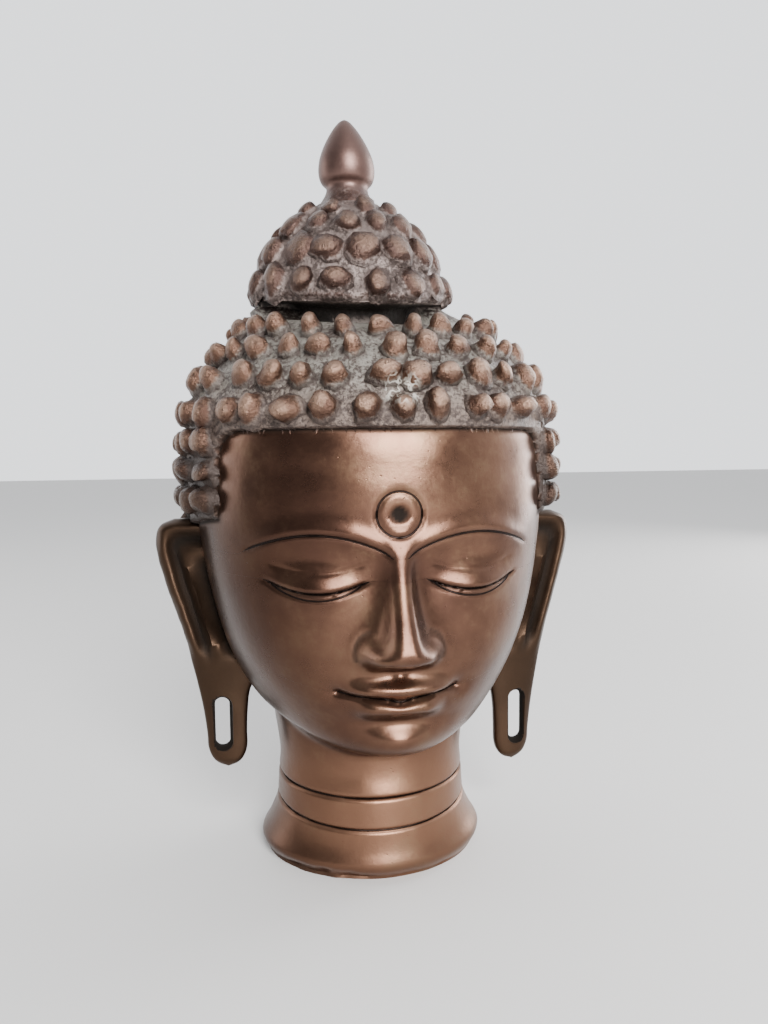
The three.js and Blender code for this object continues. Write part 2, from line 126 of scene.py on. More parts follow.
def joinShells(shells):
    points, faces, start = [], [], 0
    for shellPoints, shellFaces, _ in shells:
        faces += [[corner + start for corner in face] for face in shellFaces]
        points.append(shellPoints)
        start += len(shellPoints)
    marks = {name: np.concatenate([shell[2][name] for shell in shells]) for name in markNames + lineNames}
    return np.concatenate(points), faces, marks


def objectOf(name, shell):
    points, faces, marks = shell
    mesh = bpy.data.meshes.new(name)
    mesh.from_pydata((points * toMetres).tolist(), [], faces)
    made = bpy.data.objects.new(name, mesh)
    bpy.context.scene.collection.objects.link(made)
    return made


# Give every point of a joined mesh the marks of the shell point nearest to it
def markAgain(made, shells):
    points, _, marks = joinShells(shells)
    tree = KDTree(len(points))
    for i, point in enumerate((points * toMetres).tolist()):
        tree.insert(point, i)
    tree.balance()
    nearest = [tree.find(vertex.co)[1] for vertex in made.data.vertices]
    for name in markNames + lineNames:
        mark = made.data.attributes.new(name, "FLOAT", "POINT")
        mark.data.foreach_set("value", marks[name][nearest].astype(np.float32))


# Levels of the face, a third of its length apart, and the places of its features
chinZ, third = 42.6, 32
noseZ, browZ, hairZ = chinZ + third, chinZ + 2 * third, chinZ + 3 * third
mouthZ = noseZ - 10.8
headX, headY = 1, 6
neckGrooves = {"levels": (15.3, 25.2), "droop": (2.2, 0.6), "depth": 0.9, "width": 0.55}
eye = {"x": 22.5, "z": browZ - 11.5, "half": 12.5, "slit": 1.9}
lipsHalf = 17.5
urna = {"z": browZ + 8.6, "radius": 6.3, "pit": 2.6, "depth": 0.7}

# Neck and head without their features: height, half width, depth to the front and to the back, and how
# square the head's front is
neckRows = [
    [0, 35.5, 31, 31],
    [4.5, 37.2, 33, 33],
    [9, 34.8, 31.8, 32],
    [15.5, 32.2, 31, 31.5],
    [25, 31.4, 30.3, 31],
    [33, 31, 28.5, 31.5],
    [48, 33, 28, 35],
]
headRows = [
    [38, 27, 44, 33, 1.8],
    [43, 31, 49.5, 35, 1.9],
    [49, 36, 53, 37, 2],
    [56, 41.5, 54, 38.5, 2.05],
    [64, 46, 55.5, 41, 2.1],
    [74, 50, 56.8, 44.5, 2.15],
    [86, 53.2, 57.8, 48, 2.2],
    [98, 55.4, 58.4, 50, 2.2],
    [112, 57, 59.2, 51, 2.15],
    [126, 57, 59.4, 50, 2.1],
    [hairZ, 55.4, 57.8, 47, 2.1],
    [147, 49, 50, 42, 2.1],
    [156, 40, 38, 34, 2.1],
]
# Nose: height, how far it stands out and its half width
noseRows = [
    [noseZ - 3, 0, 7.6],
    [noseZ - 1, 3.4, 8.6],
    [noseZ + 0.6, 10, 9.2],
    [noseZ + 2.6, 12.6, 9.2],
    [noseZ + 5, 13, 8.3],
    [noseZ + 9, 11.3, 6.9],
    [noseZ + 15, 8.1, 5.6],
    [noseZ + 22, 5, 4.9],
    [noseZ + 29, 2.8, 5.4],
    [noseZ + 36, 0.6, 7],
    [noseZ + 40, 0, 8],
]
neckSide, neckFront, neckBack = (through(neckRows, column) for column in (1, 2, 3))
headSide, headFront, headBack, squareness = (through(headRows, column) for column in (1, 2, 3, 4))
noseOut, noseHalfWidth = (through(noseRows, column) for column in (1, 2))


# Lines of the face: their height above the middle line at a distance from it
def archZ(across):
    turn = np.clip((across - 2) / 42, 0, 1)
    return browZ - 3.4 + 6.4 * np.sin(math.pi * turn) ** 0.8


def upperLidZ(across):
    return eye["z"] - 1.6 + 2.4 * np.clip(np.abs(across - eye["x"]) / eye["half"], 0, 1.2) ** 2


def lowerLidZ(across):
    openness = np.clip(1 - ((across - eye["x"]) / eye["half"]) ** 2, 0, 1)
    return upperLidZ(across) - eye["slit"] * openness**0.8


def partingZ(across):
    return mouthZ + 1.2 * (across / 17) ** 2 - 0.9 * bell(across, 0, 3.2)


# Distance above a line, and how much of the line is there between two distances from the middle
def fromLine(z, across, line):
    slope = (line(across + 0.2) - line(across - 0.2)) / 0.4
    return (z - line(across)) / np.sqrt(1 + slope**2)


def within(across, start, end, fade=3):
    return smoothstep(start - fade, start, across) * (1 - smoothstep(end, end + fade, across))


# A cut line that thins out towards its ends
def thinned(distance, present):
    return np.clip(distance / (present + 0.02), -farAway, farAway)


# At a place in the front view of the face: how far the carving stands out, how much grime and painted shade
# lies there and how far it is from each cut line
def relief(x, z):
    across = np.abs(x)
    nose = noseOut(z) / (1 + (across / noseHalfWidth(z) / 0.74) ** 4)
    nostril = 4.4 * bell(across, 7.8, 3.2) * bell(z, noseZ + 2.4, 3.4)
    brow = bell(z, archZ(across) + 1.4, 2.8) * smoothstep(0, 8, across) * (1 - smoothstep(32, 44, across))
    socket = 3.6 * bell(across, 20, 15) * bell(z, eye["z"] + 2, 8.5)
    lids = 4.6 * bell(across, eye["x"], 10.8) * bell(z, eye["z"], 5.8)
    cheek = 2.2 * bell(across, 30, 15) * bell(z, noseZ + 4, 16)
    muzzle = 2.6 * bell(across, 0, 20) * bell(z, mouthZ, 12)
    lipEnd = 1 - smoothstep(lipsHalf / 2, lipsHalf, across)
    upperLip = 2.6 * bell(z, mouthZ + 2.7, 2.2) * lipEnd
    lowerEnd = 1 - smoothstep(lipsHalf / 2.4, lipsHalf / 1.2, across)
    lowerLip = 3.1 * bell(z, mouthZ - 3, 2.6) * lowerEnd
    corner = 1.4 * bell(across, lipsHalf + 0.5, 2.8) * bell(z, mouthZ + 1.2, 2.8)
    philtrum = 0.8 * bell(across, 0, 1.9) * bell(z, mouthZ + 6.4, 2.6)
    underLip = 1.6 * bell(across, 0, 12) * bell(z, mouthZ - 7.8, 2.8)
    chin = 3.2 * bell(across, 0, 10.5) * bell(z, chinZ + 7, 5.6)

    browAt, browOn = fromLine(z, across, archZ), within(across, 4, 40)
    upperAt, upperOn = fromLine(z, across, upperLidZ), within(across, 10, 35)
    lowerAt, lowerOn = fromLine(z, across, lowerLidZ), within(across, 11, 34)
    mouthAt, mouthOn = fromLine(z, across, partingZ), within(across, -9, lipsHalf - 1.5)
    ringAt = np.hypot(x, z - urna["z"]) - urna["radius"]
    browCut = bell(browAt, 0, 0.6) * browOn
    upperCut = bell(upperAt, 0, 0.55) * upperOn
    lowerCut = bell(lowerAt, 0, 0.5) * lowerOn
    crease = bell(fromLine(z, across, lambda a: upperLidZ(a) + 5.4), 0, 0.6) * within(across, 12, 32, 5)
    inSlit = smoothstep(lowerLidZ(across), upperLidZ(across) + 0.01, z) * (z < upperLidZ(across))
    parting = bell(mouthAt, 0, 0.75) * mouthOn
    wing = np.hypot(across - 7.6, (z - noseZ - 2.6) * 0.9)
    wingLine = bell(wing, 5.2, 0.6) * (across > 8) * (z > noseZ)
    holes = bell(across, 4.2, 2) * bell(z, noseZ - 0.2, 1.3)
    ring = bell(ringAt, 0, 0.65)
    pit = 1 - smoothstep(-0.9, 0.1, np.hypot(x, z - urna["z"]) - urna["pit"])

    raised = nose + nostril + 1.1 * brow + lids + cheek + muzzle + upperLip + lowerLip + chin
    sunk = socket + corner + philtrum + underLip + 0.5 * inSlit
    cut = 0.7 * browCut + 0.9 * upperCut + 0.6 * lowerCut + 0.4 * crease + 2 * parting
    cut = cut + 0.5 * wingLine + 1.6 * holes + urna["depth"] * (ring + 1.6 * pit)
    shade = 0.25 * (browCut + upperCut + lowerCut + ring) + 0.3 * inSlit + 0.5 * parting
    shade = shade + 0.7 * wingLine + holes + 1.1 * pit
    lines = {
        "browLine": thinned(browAt, browOn),
        "upperLine": thinned(upperAt, upperOn),
        "lowerLine": thinned(lowerAt, lowerOn),
        "mouthLine": thinned(mouthAt, mouthOn),
        "ringLine": ringAt,
    }
    return raised - sunk - cut, np.clip(shade, 0, 1), lines


# The skin at an angle from straight ahead, positive towards +X, and its marks
def skinAt(angle, z):
    s, c = np.sin(angle), np.cos(angle)
    ahead = np.maximum(c, 0)
    levels = zip(neckGrooves["levels"], neckGrooves["droop"])
    low, high = (z - level - droop * (1 - ahead) for level, droop in levels)
    lines = bell(low, 0, neckGrooves["width"]) + bell(high, 0, neckGrooves["width"])
    neckLine = low * high / (low - high)
    groove = neckGrooves["depth"] * lines
    neckDepth = np.where(c > 0, neckFront(z), neckBack(z)) - groove
    neckX, neckY = (neckSide(z) - groove) * s, -neckDepth * c
    power = 2 / np.where(c > 0, squareness(z), 2)
    headDepth = np.where(c > 0, headFront(z), headBack(z))
    faceX = headX + headSide(z) * np.sign(s) * np.abs(s) ** power
    faceY = headY - headDepth * np.sign(c) * np.abs(c) ** power
    jawZ = chinZ - 1.5 + 19 * (1 - np.maximum(c, 0)) ** 1.2
    onHead = smoothstep(jawZ - 4, jawZ + 4.5, z)
    x = neckX + (faceX - neckX) * onHead
    y = neckY + (faceY - neckY) * onHead
    carved, shade, cuts = relief(x - headX, z)
    inFront = onHead * smoothstep(0, 0.35, c)
    points = np.stack([x, y - carved * inFront, z + 0 * x], axis=-1)
    seam = bell(outsideWindow(np.arctan2(x - headX, headY - y), z), 0.2, 0.9) * smoothstep(76, 79, z)
    marks = {name: np.where(inFront > 0.5, cut, np.copysign(farAway, cut)) for name, cut in cuts.items()}
    marks["neckLine"] = np.where(z < 35, neckLine, farAway)
    # Grime and painted shade in the neck grooves, the face's cuts and holes, and along the hair's edge
    marks["groove"] = np.clip(0.3 * lines * (1 - onHead) + shade * inFront + seam, 0, 1)
    return points, marks


# Places from one end to the other, at a spacing that changes at given places: [from, spacing], ...
def spaced(bands, end):
    places = []
    for (start, step), stop in zip(bands, [band[0] for band in bands[1:]] + [end]):
        count = max(round((stop - start) / step), 1)
        places += [start + (stop - start) * k / count for k in range(count)]
    return np.array(places + [end])


# Columns of the skin by angle in degrees and its rows by height, close together where the carving is fine
skinColumns = [
    [0, 0.78],
    [40, 1.6],
    [70, 3.2],
    [112, 8],
]
skinLevels = [
    [0, 0.8],
    [6, 1.6],
    [13.5, 0.4],
    [19, 1.5],
    [23.5, 0.4],
    [27.5, 1.4],
    [chinZ - 2, 0.95],
    [mouthZ - 8, 0.58],
    [noseZ + 6, 0.8],
    [eye["z"] - 7, 0.53],
    [browZ + 4, 0.66],
    [browZ + 16, 1.3],
    [hairZ, 3],
]
skinTopZ = 156
chips = {"angle": math.radians(-38), "spread": math.radians(30)}


# Both halves of a ring, from the angles of one half
def bothHalves(half):
    return np.concatenate([-half[1:-1][::-1], half])


def makeSkin():
    angles = np.radians(bothHalves(spaced(skinColumns, 180)))
    angle, z = np.meshgrid(angles, spaced(skinLevels, skinTopZ))
    points, marks = skinAt(angle, z)
    outward = np.stack([np.sin(angle), -np.cos(angle), 0 * angle], axis=-1)
    uneven = 0.22 * lumps(points, 17, 1) + 0.07 * lumps(points, 6, 2)
    chipped = smoothstep(5, 1, z) * bell(angle, chips["angle"], chips["spread"])
    worn = 0.5 * smoothstep(3, 0, z) * (1 + lumps(points, 7, 4))
    uneven = uneven - chipped * (0.9 + 1.1 * lumps(points, 4, 3)) - worn
    points = points + outward * (uneven * smoothstep(-0.5, 1, z))[..., None]
    marks["groove"] = np.clip(marks["groove"] + 0.5 * chipped * smoothstep(3, 0, z), 0, 1)
    return shellOfRings(points, marks)


# The crown's axis and rim, and the deep slot under the rim in front
crown = {"x": -4, "y": 8, "rim": 32, "rimZ": 183, "droop": 4.5, "slotDepth": 12.5, "slotHeight": 7}
slotEnd = math.radians(66)
slotSides = math.radians(84)

# Ground of the hair, row by row from the nape up: height in front and at the sides, reach to the front, to
# the sides and to the back
hairRows = [
    [0, 74.5, 74.5, 52.9, 52.2, 47.6],
    [1, 83.4, 83.4, 55.4, 55, 50.8],
    [2, 92.2, 92.2, 57.4, 56.9, 53],
    [3, 101, 101, 58.8, 58.4, 54.4],
    [4, 109.8, 109.8, 59.9, 59.3, 55],
    [5, 118.4, 118.4, 60.5, 59.7, 54.8],
    [6, 127, 127, 60.8, 59.8, 54.1],
    [7, 135.6, 135.6, 60.8, 59.4, 52.8],
    [8, 144, 144.4, 59.3, 58.4, 50.8],
    [9, 152.4, 153.6, 54.4, 54.8, 46.8],
    [10, 160.2, 162, 47, 48.4, 41.6],
    [11, 166.6, 169.6, 38.6, 41.8, 37],
    [12, 170.4, 175, 30.5, 35.5, 31],
]
hairFrontZ, hairSideZ = (through(hairRows, column) for column in (1, 2))
hairFront, hairSide, hairBack = (through(hairRows, column) for column in (3, 4, 5))
napeRow = -0.9
lastRow = hairRows[-1][0]
napeDrop, napeTuck = 10, 4
templeAngle = math.radians(56.5)
templeReach = 59
templeCorner = 9
earTopZ = 108
earTopSlope = 0.13
earAngle = math.radians(91)

# Above the last row the ground goes on under the crown: low as the slot's floor in front, and up to the rim
# at the slot's ends, beside it and behind. Each row has its low reach and height, then its high ones.
crownFloor = [
    [12, 30.5, 170.4, 35.5, 175],
    [13, 26, 171.6, 33.4, 178.8],
    [14, 16, 172.4, 27, 182],
]
lowReach, lowZ, highReach, highZ = (through(crownFloor, column) for column in (1, 2, 3, 4))


def hairAt(angle, row, inset=0):
    s, c = np.sin(angle), np.cos(angle)
    depth = np.where(c > 0, hairFront(row), hairBack(row))
    low = np.clip(-row, 0, 1)
    reach = 1 / np.hypot(s / hairSide(row), c / depth)
    droop = np.maximum(c, 0) ** 2
    z = hairSideZ(row) + (hairFrontZ(row) - hairSideZ(row)) * droop - napeDrop * low
    above = np.clip(row - lastRow, 0, 1)
    rise = smoothstep(slotEnd - 0.17, slotEnd + 0.24, np.abs(angle))
    further = np.maximum(row, lastRow + 1)
    newReach = lowReach(further) + (highReach(further) - lowReach(further)) * rise
    newZ = lowZ(further) + (highZ(further) - lowZ(further)) * rise
    reach = reach + (newReach - reach) * above - inset - napeTuck * low
    z = z + (newZ - z) * above
    x = headX + (crown["x"] - headX) * rise * above
    y = headY + (crown["y"] - headY) * rise * above
    return np.stack([x + reach * s, y - reach * c, z], axis=-1)


# Distance outside the window that the hair leaves for the face, negative inside it
def outsideWindow(angle, z):
    turn = np.abs(angle)
    upper = hairZ - z
    side = (templeAngle - turn) * templeReach
    behind = (earAngle - turn) * templeReach
    rounded = templeCorner - np.hypot(np.maximum(templeCorner - upper, 0), np.maximum(templeCorner - side, 0))
    face = np.minimum(rounded, np.minimum(upper, side))
    cheek = np.minimum(earTopZ + earTopSlope * behind - z, behind)
    return -np.maximum(face, cheek)


# Where the knobs stand, as angles in degrees: in front row by row as on the object, and the rest evenly, as
# many as would go round the whole row
frontKnobs = {
    8: (-73, -61, -49, -40, -29, -19, -8, 1, 10, 22, 30, 40, 55, 66),
    9: (-80, -64, -48, -37, -27, -17, -3, 6, 15, 27, 38, 50, 62),
    10: (-74, -61, -49, -36, -25, -13, 0, 13, 26, 38, 53, 71),
    11: (-77, -61, -47, -31, -17, -2, 13, 26, 39, 53, 68),
}
evenKnobs = {8: 33, 9: 32, 10: 29, 11: 25}
topKnobs = 20
# Lower rows start behind the ear or, above it, at the temple, and are staggered
sideKnobs = {"ear": 96, "temple": 61, "oddGap": 8, "evenGap": 11.4, "spacing": 11.3, "count": 12, "end": 178}
firstTempleRow = 4


def placeKnobs():
    placed = []
    for row in range(lastRow + 1):
        front = frontKnobs.get(row)
        if row == lastRow:
            turns = tuple(k * 360 / topKnobs for k in range(topKnobs))
        elif front:
            gap = front[0] + 360 - front[-1]
            more = round(gap * evenKnobs[row] / 360)
            turns = front + tuple(front[-1] + gap * k / more for k in range(1, more))
        else:
            edge = sideKnobs["temple"] if row >= firstTempleRow else sideKnobs["ear"]
            gap = sideKnobs["oddGap"] if row % 2 else sideKnobs["evenGap"]
            behind = edge + gap + sideKnobs["spacing"] * np.arange(sideKnobs["count"])
            side = np.append(edge, behind[behind < sideKnobs["end"]])
            turns = tuple(side) + tuple(-side)
        placed += [(turn, row) for turn in turns]
    turns, rows = np.array(placed, float).T
    random = np.random.default_rng(seed + 20)
    angles = np.radians((turns + 180) % 360 - 180) + random.normal(0, 0.007, len(turns))
    rows = rows + random.normal(0, 0.03, len(rows))
    z = hairAt(angles, rows)[:, 2]
    underSlot = (rows > lastRow - 0.5) & (np.abs(angles) < slotSides)
    kept = (outsideWindow(angles, z) > 1.8) & ~underSlot
    return angles[kept], rows[kept]


# Soft mounds at the knobs' feet, as heights at the given points
def mounds(points, feet, wide, high):
    raised = np.zeros(points.shape[:-1])
    for foot in feet:
        raised = np.maximum(raised, bell(np.linalg.norm(points - foot, axis=-1), 0, wide))
    return high * raised


# Dust lies on the upper hair, in front and at the sides
dustFrom, dustTo = 141, 157


def dustAt(height, angle):
    return smoothstep(dustFrom, dustTo, height) * (1 - smoothstep(-0.2, 0.5, -np.cos(angle)))


# Columns of the hair's ground by angle in degrees, and its rows, close together along its edges
hairlineRow = 7.35
hairColumns = [[0, 2], [50, 1.2], [56.5, 0.6], [59, 2], [89, 1], [93, 2.4]]
groundRows = [[napeRow, 0.12], [hairlineRow - 0.1, 0.03], [hairlineRow + 0.15, 0.13]]


def makeHairGround(knobAngles, knobRows):
    angles = bothHalves(np.radians(spaced(hairColumns, 180)))
    angle, row = np.meshgrid(angles, spaced(groundRows, crownFloor[-1][0]))
    ground = hairAt(angle, row)
    outside = outsideWindow(angle, ground[..., 2])
    below = smoothstep(134, 126, ground[..., 2])
    outside = outside + below * (0.9 * lumps(ground, 5, 13) - 0.4)
    edge = smoothstep(-1.3, 0.7, outside)
    raised = mounds(ground, hairAt(knobAngles, knobRows), 4.1, 1.5) * smoothstep(0, 3, outside)
    rough = 0.45 * lumps(ground, 2.3, 11) + 0.4 * lumps(ground, 6, 12)
    points = hairAt(angle, row, 7 * (1 - edge) - (rough + raised) * edge)
    # The knob mark on the ground is the mounds' height, which the material darkens round the knobs' feet as
    # grime and painted shade
    marks = {"hair": 1.0, "dust": dustAt(ground[..., 2], angle), "knob": 0.1 * raised}
    # Grime and painted shade where the ground tucks in under the hair's edge
    marks["groove"] = 0.85 * (1 - smoothstep(0.1, 0.9, edge))
    return shellOfRings(points, marks)


# Knobs: cast nubs with a spreading foot and a narrower tip, uneven and leaning. The outline has heights and
# shares of the knob's radius.
knobSides = 10
knobOutline = [
    [-1.6, 1.34],
    [0.7, 1.28],
    [1.7, 1.14],
    [2.9, 1.05],
    [4.1, 0.92],
    [5.1, 0.68],
    [5.6, 0.36],
]
knobTip = 5.75


def makeKnobs(surface, angles, rows, radii, lengths, leaning, marks, salt):
    random = np.random.default_rng(seed + salt)
    step = 0.02
    centre = surface(angles, rows)
    across = surface(angles + step, rows) - surface(angles - step, rows)
    upward = surface(angles, rows + step) - surface(angles, rows - step)
    out = np.cross(across, upward)
    out /= np.linalg.norm(out, axis=-1, keepdims=True)
    out += random.normal(0, 0.06, out.shape)
    out /= np.linalg.norm(out, axis=-1, keepdims=True)
    across = np.cross(upward, out)
    across /= np.linalg.norm(across, axis=-1, keepdims=True)
    upward = np.cross(out, across)
    turn = np.arange(knobSides) * 2 * math.pi / knobSides
    count = len(angles)
    heights, reaches = np.array(knobOutline).T
    wide = radii * random.normal(0.98, 0.11, count)
    tall = radii * random.normal(1.08, 0.13, count)
    lengths = lengths * random.normal(1, 0.07, count) / knobTip
    leanUp = leaning + random.normal(0, 0.75, count)
    leanAcross = random.normal(0, 0.75, count)
    bend = (np.clip(heights, 0, None) / knobTip) ** 2
    reaches = reaches[None, :, None]
    sideways = wide[:, None, None] * reaches * np.sin(turn) + (leanAcross[:, None] * bend)[..., None]
    upwards = -tall[:, None, None] * reaches * np.cos(turn) + (leanUp[:, None] * bend)[..., None]
    rise = heights * lengths[:, None]
    rings = (
        centre[:, None, None]
        + out[:, None, None] * rise[..., None, None]
        + across[:, None, None] * sideways[..., None]
        + upward[:, None, None] * upwards[..., None]
    )
    middle = rings.mean(axis=2, keepdims=True)
    dented = 0.24 * lumps(rings, 2.1, salt + 1) + 0.12 * lumps(rings, 4.4, salt + 2)
    rings = middle + (rings - middle) * (1 + dented[..., None])
    tips = centre + out * (knobTip * lengths)[:, None]
    tips = tips + across * leanAcross[:, None] + upward * leanUp[:, None]
    share = np.clip(heights / knobTip, 0, 1)
    shells = []
    for k in range(count):
        knob = np.broadcast_to(share[:, None], rings[k].shape[:2])
        knobMarks = {name: values[k] for name, values in marks.items()}
        points, faces, full = shellOfRings(rings[k], {"knob": knob, **knobMarks})
        points[-1] = tips[k]
        full["knob"][-1] = 1
        shells.append((points, faces, full))
    return joinShells(shells)


def makeHairKnobs(angles, rows):
    radii = 3.45 - 0.7 * smoothstep(8.3, 11.4, rows)
    lengths = 5.2 + 0.5 * smoothstep(7.4, 8.6, rows) - 0.7 * smoothstep(10.5, 12, rows)
    leaning = 1.1 * smoothstep(8.4, 9.6, rows)
    height = hairAt(angles, rows)[:, 2]
    marks = {"hair": np.ones(len(angles)), "dust": dustAt(height, angles)}
    return makeKnobs(hairAt, angles, rows, radii, lengths, leaning, marks, 21)


# Crown: its ground row by row above the rim, and its knobs' angles in degrees on each row
crownRows = [
    [-0.55, 182.8, 31.2],
    [-0.35, 183.8, 31.9],
    [0, 186.5, 30.4],
    [1, 195, 26.8],
    [2, 203.3, 21.4],
    [3, 210, 14.8],
    [4, 214.5, 10.2],
]
crownKnobs = {
    0: (-78, -55, -33, -13, 10, 32, 54, 78, 102, 126, 152, 180, 206, 232, 258),
    1: (-66, -43, -20, 1, 24, 48, 74, 100, 126, 152, 178, 204, 230, 256, 275),
    2: (-92, -62, -34, -8, 17, 43, 74, 106, 138, 170, 202, 234),
    3: (-70, -26, 12, 50, 92, 134, 176, 218, 260),
}
crownZ, crownRadius = (through(crownRows, column) for column in (1, 2))


def crownPoint(angle, radius, z, drooping=0):
    droop = crown["droop"] * np.maximum(np.cos(angle), 0) ** 1.5
    x = crown["x"] + radius * np.sin(angle)
    y = crown["y"] - radius * np.cos(angle)
    return np.stack([x, y, z - drooping * droop], axis=-1)


def crownAt(angle, row, inset=0):
    drooping = 1 - 0.8 * smoothstep(-0.5, 1.4, row)
    return crownPoint(angle, crownRadius(row) - inset, crownZ(row), drooping)


def placeCrownKnobs():
    random = np.random.default_rng(seed + 40)
    turns, rows = np.array([(turn, row) for row in crownKnobs for turn in crownKnobs[row]], float).T
    angles = np.radians(turns) + random.normal(0, 0.015, len(turns))
    return angles, rows + random.normal(0.03, 0.04, len(rows))


def makeCrownGround(knobAngles, knobRows):
    angles = np.linspace(-math.pi, math.pi, 121)[:-1]
    inSlot = 1 - smoothstep(slotEnd, slotEnd + 0.2, np.abs(angles))
    wall = crown["rim"] - 1 - (crown["slotDepth"] - 1) * inSlot
    rimZ = crown["rimZ"]
    levels = np.full(len(angles), rimZ)
    ragged = 0.35 * lumps(crownPoint(angles, crown["rim"], levels), 2.1, 33)
    rings = [
        crownPoint(angles, wall - 5, levels - crown["slotHeight"] - 6, 1),
        crownPoint(angles, wall, levels - crown["slotHeight"], 1),
        crownPoint(angles, wall, levels - 3, 1),
        crownPoint(angles, wall + 1.2, levels - 1.4, 1),
        crownPoint(angles, (wall + crown["rim"]) / 2, levels - 1.2, 1),
        crownPoint(angles, crown["rim"] - 1.4 + ragged, levels - 1.1 + ragged, 1),
    ]
    rows = np.linspace(crownRows[0][0], crownRows[-1][0], 42)
    angle, row = np.meshgrid(angles, rows)
    ground = crownAt(angle, row)
    raised = mounds(ground, crownAt(knobAngles, knobRows), 5.2, 1.9)
    rough = 0.4 * lumps(ground, 2.4, 31) + 0.4 * lumps(ground, 7, 32)
    rough = rough + 0.3 * lumps(ground, 1.7, 34) * bell(row, -0.3, 0.4)
    upper = crownAt(angle, row, -(rough + raised * smoothstep(-0.5, 0, row)))
    points = np.concatenate([np.stack(rings), upper])
    # The slot under the rim is painted dark all over: grime and painted shade
    groove = np.zeros(points.shape[:2])
    groove[: len(rings) - 1] = 1
    knob = np.zeros(points.shape[:2])
    knob[len(rings):] = 0.12 * raised + 0.3 * bell(row, -0.4, 0.25)
    return shellOfRings(points, {"hair": 1.0, "crown": 1.0, "groove": groove, "knob": knob})


def makeCrownKnobs(angles, rows):
    radii = 3.9 + 0.5 * bell(rows, 1, 0.6) - 0.6 * smoothstep(1.5, 3, rows)
    lengths = 4.6 - 0.9 * smoothstep(1.5, 3, rows)
    leaning = np.full(len(angles), 0.5)
    marks = {"hair": np.ones(len(angles)), "crown": np.ones(len(angles))}
    return makeKnobs(crownAt, angles, rows, radii, lengths, leaning, marks, 41)


# Jewel: a flared stem and a bud, turned, leaning a little. Rough up to the stem's neck, and round at the top.
jewel = {"foot": 208, "lean": math.radians(1.6), "stem": 215, "neck": 221, "cap": 236, "around": 9}
jewelOutline = [
    [208, 12.4],
    [211, 11.4],
    [213.8, 10.1],
    [216.4, 8.4],
    [218.6, 7.3],
    [220.4, 7],
    [221.2, 7.4],
    [222.4, 8.6],
    [224.2, 9.3],
    [226.6, 9.5],
    [229.4, 9.1],
    [232, 8.2],
    [234.6, 7],
    [237, 5.7],
    [239.2, 4.3],
    [241, 2.9],
    [242.2, 1.7],
    [canonHeight, 0.3],
]


def makeJewel():
    radius = through(jewelOutline)
    turn = np.linspace(0, math.pi / 2, 22)[1:]
    cap = jewel["cap"] + (canonHeight - jewel["cap"]) * np.sin(turn)
    z = np.concatenate([np.linspace(jewel["foot"], jewel["cap"], 44), cap])
    angles = np.linspace(-math.pi, math.pi, 65)[:-1]
    angle, level = np.meshgrid(angles, z)
    spot = np.stack([jewel["around"] * np.sin(angle), jewel["around"] * np.cos(angle), level], axis=-1)
    onStem = 1 - smoothstep(jewel["stem"], jewel["neck"] - 1, level)
    rough = 0.1 * lumps(spot, 6, 51) + 0.28 * lumps(spot, 3, 52) * onStem
    reach = radius(level) + rough * smoothstep(0.5, 3, radius(level))
    up = level - jewel["foot"]
    x = crown["x"] + reach * np.sin(angle) - up * math.sin(jewel["lean"])
    y = crown["y"] - reach * np.cos(angle)
    points = np.stack([x, y, jewel["foot"] + up * math.cos(jewel["lean"])], axis=-1)
    rooted = 1 - smoothstep(jewel["stem"] + 1, jewel["neck"], level)
    return shellOfRings(points, {"crown": 0.6 + 0.4 * rooted, "hair": 0.75 * rooted, "knob": 0.45 * rooted})


# Ears, drawn for the +X side, with the slit through the lobe
ear = {
    "y": 4,
    "thickness": 5,
    "rake": math.radians(8),
    "hinge": 52,
    "slotWidth": 4.8,
    "slotHeight": 17,
    "slotX": 50.4,
    "slotTop": 50,
}
rightEar = {"out": 3.5, "drop": 5}
earLowZ, earHighZ = 26.2, 110.8

# Where the outer and the inner edge of an ear are at each height
outerEdge = [
    [earLowZ, 48.4],
    [27.2, 51.4],
    [29.5, 53.6],
    [33, 54.9],
    [37, 55.2],
    [46.5, 56.4],
    [58, 58.6],
    [69.5, 61],
    [79, 64],
    [88.7, 67],
    [99.5, 69.8],
    [105.5, 69.9],
    [109, 68.2],
    [earHighZ, 64],
]
innerEdge = [
    [earLowZ, 48.4],
    [27.2, 45.4],
    [29.5, 43.2],
    [33, 42],
    [38, 41.8],
    [46, 41.4],
    [52, 40.6],
    [60, 38],
    [84, 42],
    [106, 50],
    [earHighZ, 56],
]
earOuter, earInner = through(outerEdge), through(innerEdge)


# Further out and lower on the right ear
def settled(x, z, side):
    if side < 0:
        return x, z
    return x + rightEar["out"], z - rightEar["drop"] * (1 - smoothstep(30, 100, z))


def earLevels():
    lobe = earLowZ + 5 * (1 - np.cos(np.linspace(0.12, math.pi / 2, 10)))
    top = earHighZ - 4.4 * (1 - np.sin(np.linspace(0.1, math.pi / 2 - 0.1, 10)))
    return np.concatenate([lobe, np.linspace(32, 60, 24), np.linspace(60.9, 106, 44), top])


